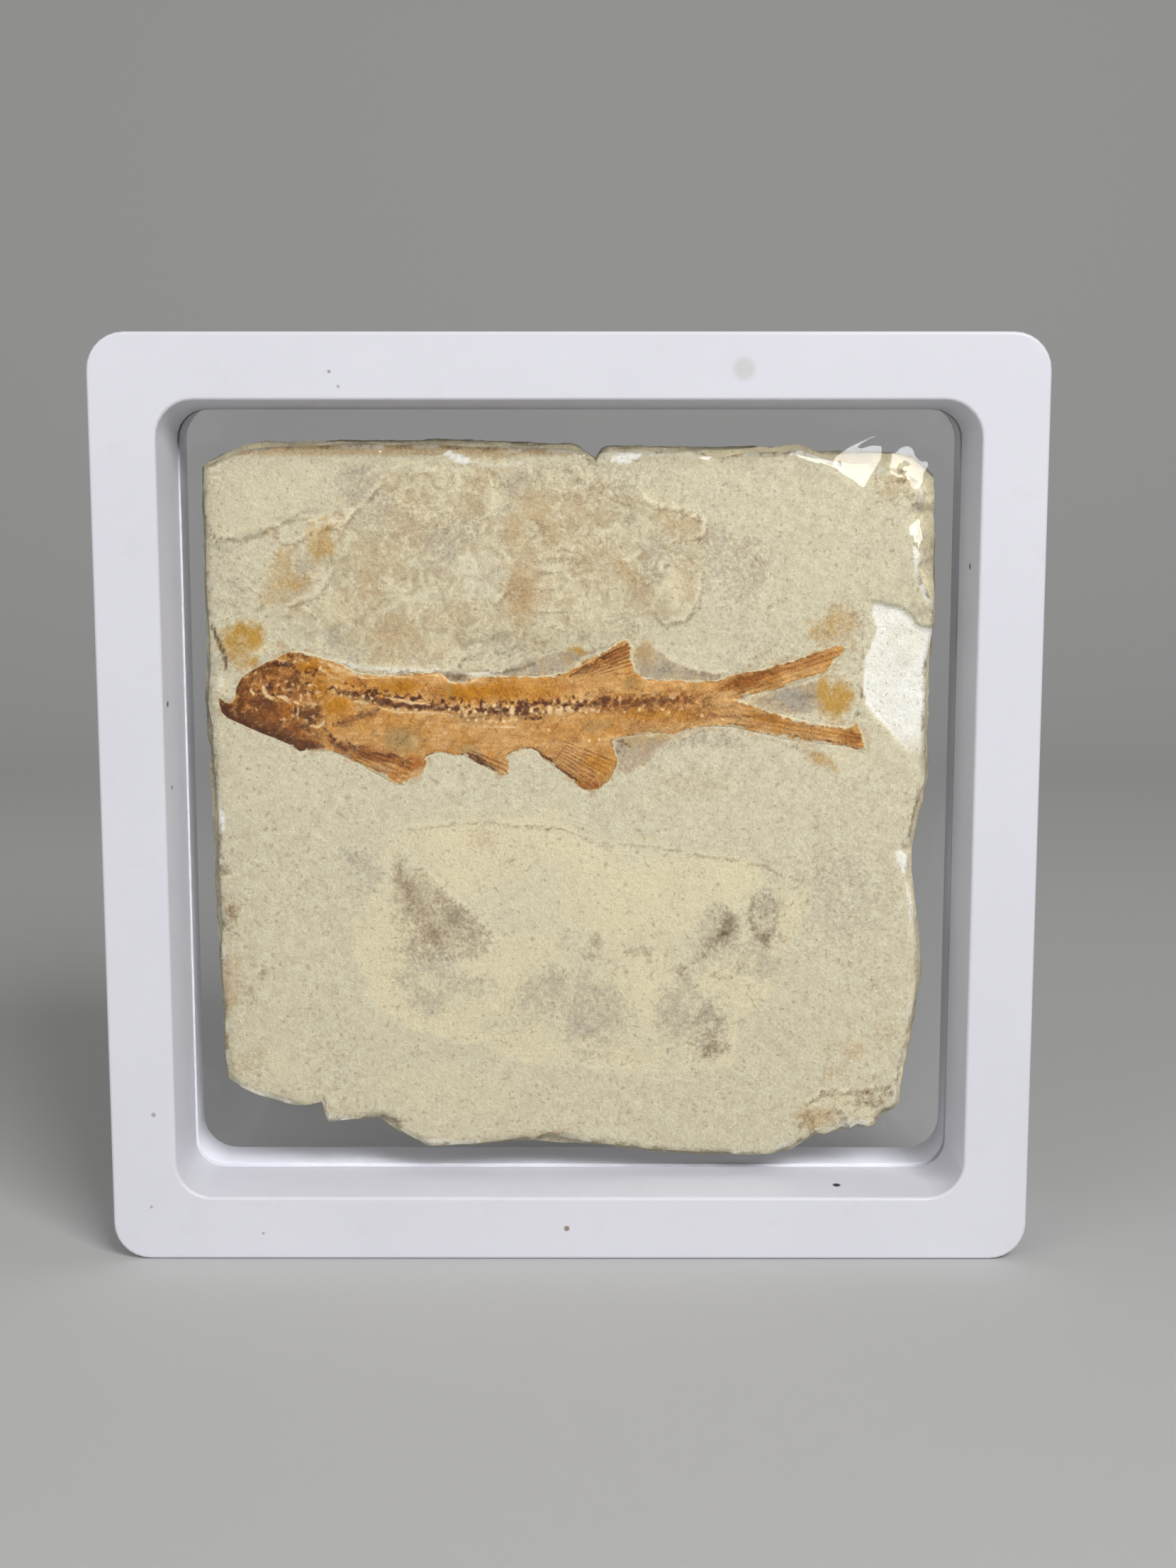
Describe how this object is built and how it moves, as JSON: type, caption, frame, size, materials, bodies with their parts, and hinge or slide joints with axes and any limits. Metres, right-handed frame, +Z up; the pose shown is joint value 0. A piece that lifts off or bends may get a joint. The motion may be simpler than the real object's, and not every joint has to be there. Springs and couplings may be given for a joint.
{
  "type": "fossil fish slab in a film display frame",
  "caption": "Fossil fish in low relief on a thin shale slab, held between clear films in a white plastic frame that opens like a book.",
  "frame": {"origin": "centre of the foot of the closed frame, hinge knuckles included", "axes": "+X to the right as the fish is seen with its head on the left, -Y towards the viewer, +Z up; the halves meet in the plane Y = 0"},
  "size_m": [0.112, 0.02, 0.11],
  "materials": {
    "white_plastic": "satin moulded",
    "clear_film": "clear glossy elastic film",
    "pale_shale": "matte split bedding face",
    "fossil_bone": "dull mineral-stained bone"
  },
  "bodies": {
    "back_half": {"back_frame": "white_plastic", "back_film": "clear_film", "slab": "pale_shale", "fish": "fossil_bone"},
    "front_half": {"front_frame": "white_plastic", "front_film": "clear_film"}
  },
  "joints": [
    {"name": "frame_hinge", "type": "hinge", "parent": "back_half", "child": "front_half", "pos_m": [-0.05475, 0, 0.055], "axis": [0, 0, -1], "range_deg": [0, 180]}
  ]
}
